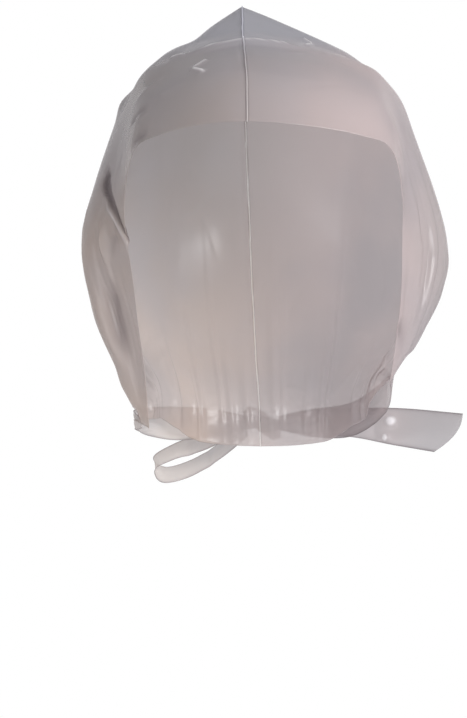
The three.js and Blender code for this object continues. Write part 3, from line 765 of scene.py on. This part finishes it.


# painted light and shade: darker tints where less light falls, on the wearer's right and the top, and lighter ones
# where the key light falls, on the left and low down
SHADED_RIGHT_TINT, LIT_LEFT_TINT, BACKLIT_PEAK_TINT = (0.345, 0.31, 0.3), (0.66, 0.565, 0.56), (0.49, 0.495, 0.54)
LIT_LOW_TINT, OUTER_TINT, CLOUD_TINT = (0.64, 0.53, 0.46), (0.46, 0.445, 0.445), (0.43, 0.425, 0.46)
# the colours of painted highlights and painted shade along the folds
PAINTED_HIGHLIGHT_TINT, PAINTED_SHADE_TINT = (0.92, 0.9, 0.92), (0.2, 0.165, 0.18)
CLEAR_TINT = (0.97, 0.96, 0.97)  # what the clear share lets through
SATIN = (0.2, 0.265)  # smoothest and roughest of the film
SPECULAR = 0.6
GLOW = 0.35  # share of the milky part that lights up from behind
MARKED_CLEAR = 0.4  # share of its clearness that the film keeps under a painted highlight or painted shade
CRINKLE = dict(distance=0.0002, strength=0.35)


def film_material(name, lighter=1.0, clear=0.4, low=LIT_LOW_TINT):
    """Milky film: satin, lit from either side, and clear to the given share. Light and shade are painted into its
    colour: it is darker and warmer towards the wearer's right, above all at the top, as painted shade, lighter and
    pinker towards the left and lower down on the right, as painted light, and bluish and lighter at the peak, as
    painted light shining through. It is greyer towards its outer side on the left, with faint clouds and a fine
    crinkle, and its marks paint highlights and shade along the folds."""
    n = Nodes(name)

    def tint(colour):
        return tuple(min(c * lighter, 1.0) for c in colour)

    # painted shade towards the wearer's right and the top, painted light towards the left and lower down
    across = n.ramp(n.axis("X"), -0.05, 0.06)
    lower = n.ramp(n.axis("Z"), -0.17, -0.02)
    colour = n.mix(across, n.mix(lower, tint(low), tint(SHADED_RIGHT_TINT)), tint(LIT_LEFT_TINT))
    # painted light at the peak, where light shines through the film
    colour = n.mix(n.ramp(n.axis("Z"), -0.012, 0.012), colour, tint(BACKLIT_PEAK_TINT))
    colour = n.mix(n.ramp(n.axis("X"), 0.06, 0.092, 0.0, 0.6), colour, tint(OUTER_TINT))
    clouds = n.ramp(n.noise(13.0, 2.0), 0.35, 0.68, 0.0, 0.5)
    colour = n.mix(clouds, colour, tint(CLOUD_TINT))
    # painted highlights and painted shade along the folds
    white, painted_shade = n.mark("white"), n.mark("painted_shade")
    colour = n.mix(white, n.mix(painted_shade, colour, PAINTED_SHADE_TINT), PAINTED_HIGHLIGHT_TINT)
    n.put(n.bsdf.inputs["Base Color"], colour)
    n.put(n.bsdf.inputs["Roughness"], n.ramp(n.noise(25.0, 1.0), 0.3, 0.7, *SATIN))
    n.put(n.bsdf.inputs["Specular IOR Level"], SPECULAR)
    crinkle = n.bump(n.noise(110.0, 2.0), **CRINKLE)
    n.put(n.bsdf.inputs["Normal"], crinkle)
    glow = n.tree.nodes.new("ShaderNodeBsdfTranslucent")
    n.put(glow.inputs["Color"], colour)
    n.put(glow.inputs["Normal"], crinkle)
    see = n.tree.nodes.new("ShaderNodeBsdfTransparent")
    n.put(see.inputs["Color"], CLEAR_TINT)
    body = n.mix_shader(GLOW, n.bsdf.outputs[0], glow.outputs[0])
    through = n.ramp(n.most(white, painted_shade), 0.0, 1.0, clear, clear * MARKED_CLEAR)
    return n.finish(n.mix_shader(through, body, see.outputs[0]))


FILM_LOOK = film_material("milky_film")
WELD_LOOK = film_material("welded_film", lighter=1.7, clear=0.2)
# painted light: the ties are paler low down on the wearer's right
TIE_LOOK = film_material("tie_film", lighter=0.82, clear=0.46, low=(1.0, 0.92, 0.86))

# ---- pieces -----------------------------------------------------------------------------------------------


def settle(piece, nodes):
    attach(piece, "root")
    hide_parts(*nodes)


u, v = np.meshgrid(steps_u, steps_v, indexing="ij")
edges = []
for panel in PANELS:
    points, marks = folded(panel, u, v)
    edges.append(points[:, 0])
    film = shell(panel["name"] + "_film", points, points - FILM * grid_normals(points), FILM_LOOK, marks)
    settle(film, [panel["name"]])

settle(weld_piece(edges[0], edges[1], WELD_LOOK), ["crown_seam"])

for tie in TIES:
    strip = tie_film(tie, tie_grid(tie), TIE_LOOK)
    settle(strip, [tie["name"]])

for side, path in zip(("right", "left"), KNOT_STRANDS):
    settle(strand("knot_strand_" + side, path, TIE_LOOK), ["knot"])

# ---- floor, light and camera ------------------------------------------------------------------------------

FLOOR_Z, FLOOR_RADIUS, FLOOR_SIDES = -0.62, 1.6, 96
FLOOR_GREY, FLOOR_ROUGHNESS = 0.93, 0.9


def floor():
    """A plain pale round floor."""
    turn = [2 * math.pi * k / FLOOR_SIDES for k in range(FLOOR_SIDES)]
    points = [(FLOOR_RADIUS * math.cos(t), FLOOR_RADIUS * math.sin(t), FLOOR_Z) for t in turn]
    material = bpy.data.materials.new("pale_floor")
    material.use_nodes = True
    bsdf = material.node_tree.nodes["Principled BSDF"]
    bsdf.inputs["Base Color"].default_value = (FLOOR_GREY, FLOOR_GREY, FLOOR_GREY, 1)
    bsdf.inputs["Roughness"].default_value = FLOOR_ROUGHNESS
    solid("floor", points, [list(range(FLOOR_SIDES))], material)


def studio(seen, light):
    """A white room: as bright as seen to the camera, and giving light to the object."""
    world = bpy.data.worlds.new("studio")
    bpy.context.scene.world = world
    world.use_nodes = True
    nodes, links = world.node_tree.nodes, world.node_tree.links
    path = nodes.new("ShaderNodeLightPath")
    mix = nodes.new("ShaderNodeMixShader")
    links.new(path.outputs["Is Camera Ray"], mix.inputs[0])
    for socket, strength in ((1, light), (2, seen)):
        background = nodes.new("ShaderNodeBackground")
        background.inputs["Color"].default_value = (1, 1, 1, 1)
        background.inputs["Strength"].default_value = strength
        links.new(background.outputs[0], mix.inputs[socket])
    links.new(mix.outputs[0], nodes["World Output"].inputs["Surface"])


floor()
studio(seen=1.0, light=0.52)


def area_light(name, place, aim, size, power):
    """A soft light of the given width and height, in metres, and power, in watts."""
    light = bpy.data.lights.new(name, "AREA")
    light.shape = "RECTANGLE"
    light.size, light.size_y = size
    light.energy = power
    lamp = bpy.data.objects.new(name, light)
    lamp.location = place
    lamp.rotation_euler = (Vector(aim) - Vector(place)).to_track_quat("-Z", "Y").to_euler()
    bpy.context.scene.collection.objects.link(lamp)
    return lamp


MIDDLE = (0.0, 0.03, -0.1)
area_light("key", (0.9, -1.1, 0.35), MIDDLE, (0.8, 0.8), 20)
area_light("fill", (-1.0, -1.0, -0.5), (-0.05, 0.0, -0.12), (1.2, 1.2), 9)
area_light("rim", (0.0, 1.2, 0.46), (0, 0, 0), (0.15, 0.08), 0.5)
area_light("back", (0.0, 1.9, 0.0), MIDDLE, (2.0, 1.6), 4).visible_camera = False

CAMERA = Vector((-15, -1400, -154)) * MM
LENS, SENSOR = 143, 36
camera_data = bpy.data.cameras.new("camera")
camera_data.sensor_fit = "VERTICAL"
camera_data.sensor_height = SENSOR
camera_data.lens = LENS
camera_data.clip_start = 0.01
camera = bpy.data.objects.new("camera", camera_data)
camera.location = CAMERA
camera.rotation_euler = (math.radians(90), 0, 0)
bpy.context.scene.collection.objects.link(camera)
bpy.context.scene.camera = camera
bpy.context.scene.view_settings.view_transform = "Standard"
